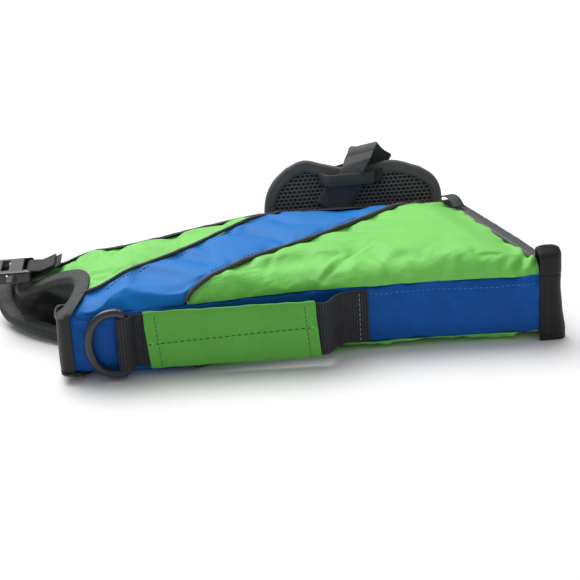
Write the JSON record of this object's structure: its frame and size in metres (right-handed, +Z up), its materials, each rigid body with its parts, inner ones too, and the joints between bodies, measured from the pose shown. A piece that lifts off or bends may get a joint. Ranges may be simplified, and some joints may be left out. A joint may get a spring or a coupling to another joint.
{
  "type": "dog life jacket",
  "caption": "Dog flotation jacket lying on one flank: two foam-filled flanks on a padded spine with lead ring and grab handle, belly panel and open buckles.",
  "frame": {"origin": "centre of the bounding box in plan, on the floor the jacket lies on", "axes": "+X along the spine from neck to tail, +Y from the spine towards the belly, +Z up from the floor through the left flank to the right flank"},
  "size_m": [0.4012, 0.2231, 0.1005],
  "materials": {
    "green_ripstop": "woven ripstop nylon, slight sheen",
    "blue_twill": "woven twill polyester",
    "lining_fabric": "plain woven lining",
    "binding_tape": "ribbed binding tape",
    "webbing": "woven nylon webbing",
    "piping": "cord piping in seam",
    "foam": "closed-cell foam, hidden",
    "spacer_mesh": "3-D spacer mesh",
    "ring_plastic": "moulded acetal",
    "buckle_plastic": "moulded acetal, soft gloss"
  },
  "bodies": {
    "left_side": {"left_shoulder_panel": "green_ripstop", "left_stripe_panel": "blue_twill", "left_rear_panel": "green_ripstop", "left_body_lining": "lining_fabric", "left_neck_lining": "lining_fabric", "left_foam": "foam", "left_neck_foam": "foam", "left_front_piping": "piping", "left_rear_piping": "piping", "left_neck_binding": "binding_tape", "left_armhole_binding": "binding_tape", "left_belly_binding": "binding_tape", "left_rear_binding": "binding_tape", "left_tail_strip": "binding_tape", "neck_strap": "webbing", "belly_tab": "webbing"},
    "spine": {"spine_front_panel": "blue_twill", "spine_band": "blue_twill", "spine_foam": "foam", "spine_lining": "lining_fabric", "spine_neck_binding": "binding_tape", "spine_tail_strip": "binding_tape", "d_ring_webbing": "webbing", "handle_front_anchor": "webbing", "handle_rear_anchor": "webbing"},
    "right_side": {"right_shoulder_panel": "green_ripstop", "right_stripe_panel": "blue_twill", "right_rear_panel": "green_ripstop", "right_body_lining": "lining_fabric", "right_neck_lining": "lining_fabric", "right_foam": "foam", "right_neck_foam": "foam", "right_front_piping": "piping", "right_rear_piping": "piping", "right_neck_binding": "binding_tape", "right_armhole_binding": "binding_tape", "right_belly_binding": "binding_tape", "right_rear_binding": "binding_tape", "right_tail_strip": "binding_tape", "neck_tab": "webbing", "rear_corner_loop": "binding_tape"},
    "lead_ring": {"d_ring": "ring_plastic"},
    "handle": {"handle_webbing": "webbing", "handle_cover": "green_ripstop"},
    "belly_panel": {"belly_mesh": "spacer_mesh", "belly_binding": "binding_tape", "belly_strap": "webbing", "belly_strap_keeper": "webbing"},
    "neck_female": {"neck_buckle_female": "buckle_plastic"},
    "neck_male": {"neck_buckle_male": "buckle_plastic"},
    "neck_arm_a": {"neck_buckle_male_arm_a": "buckle_plastic"},
    "neck_arm_b": {"neck_buckle_male_arm_b": "buckle_plastic"},
    "belly_male": {"belly_buckle_male": "buckle_plastic"},
    "belly_arm_a": {"belly_buckle_male_arm_a": "buckle_plastic"},
    "belly_arm_b": {"belly_buckle_male_arm_b": "buckle_plastic"},
    "belly_female": {"belly_buckle_female": "buckle_plastic"}
  },
  "joints": [
    {"name": "spine_fold", "type": "hinge", "parent": "left_side", "child": "spine", "pos_m": [0.04467, -0.08925, 0.0069], "axis": [1, 0, 0], "range_deg": [0, 90]},
    {"name": "right_side_fold", "type": "hinge", "parent": "spine", "child": "right_side", "pos_m": [0.04467, -0.08925, 0.0472], "axis": [1, 0, 0], "range_deg": [0, 90]},
    {"name": "d_ring_swing", "type": "hinge", "parent": "spine", "child": "lead_ring", "pos_m": [-0.10033, -0.107, 0.02705], "axis": [0, 0, 1], "range_deg": [0, 100]},
    {"name": "handle_press", "type": "hinge", "parent": "spine", "child": "handle", "pos_m": [-0.08733, -0.10302, 0.02705], "axis": [0, 0, 1], "range_deg": [0, 3]},
    {"name": "belly_panel_fold", "type": "hinge", "parent": "right_side", "child": "belly_panel", "pos_m": [0.07867, 0.07495, 0.0537], "axis": [1, 0, 0], "range_deg": [-40, 30]},
    {"name": "neck_female_swing", "type": "hinge", "parent": "right_side", "child": "neck_female", "pos_m": [-0.16933, 0.01075, 0.0422], "axis": [0, 1, 0], "range_deg": [0, 60]},
    {"name": "neck_male_swing", "type": "hinge", "parent": "left_side", "child": "neck_male", "pos_m": [-0.18133, 0.08075, 0.0048], "axis": [1, 0, 0], "range_deg": [0, 80]},
    {"name": "neck_arm_a_flex", "type": "hinge", "parent": "neck_male", "child": "neck_arm_a", "pos_m": [-0.17113, 0.09315, 0.0048], "axis": [0, 0, 1], "range_deg": [0, 6], "stiffness_Nm_per_rad": 0.02},
    {"name": "neck_arm_b_flex", "type": "hinge", "parent": "neck_male", "child": "neck_arm_b", "pos_m": [-0.19153, 0.09315, 0.0048], "axis": [0, 0, -1], "range_deg": [0, 6], "stiffness_Nm_per_rad": 0.02},
    {"name": "belly_male_swing", "type": "hinge", "parent": "belly_panel", "child": "belly_male", "pos_m": [0.06279, 0.10673, 0.06066], "axis": [0.829, 0, -0.5592], "range_deg": [0, 75]},
    {"name": "belly_arm_a_flex", "type": "hinge", "parent": "belly_male", "child": "belly_arm_a", "pos_m": [0.06431, 0.10673, 0.04467], "axis": [0, 1, 0], "range_deg": [0, 6], "stiffness_Nm_per_rad": 0.02},
    {"name": "belly_arm_b_flex", "type": "hinge", "parent": "belly_male", "child": "belly_arm_b", "pos_m": [0.0474, 0.10673, 0.05608], "axis": [0, -1, 0], "range_deg": [0, 6], "stiffness_Nm_per_rad": 0.02},
    {"name": "belly_female_swing", "type": "hinge", "parent": "left_side", "child": "belly_female", "pos_m": [0.05467, 0.08675, 0.0048], "axis": [1, 0, 0], "range_deg": [0, 80]}
  ]
}
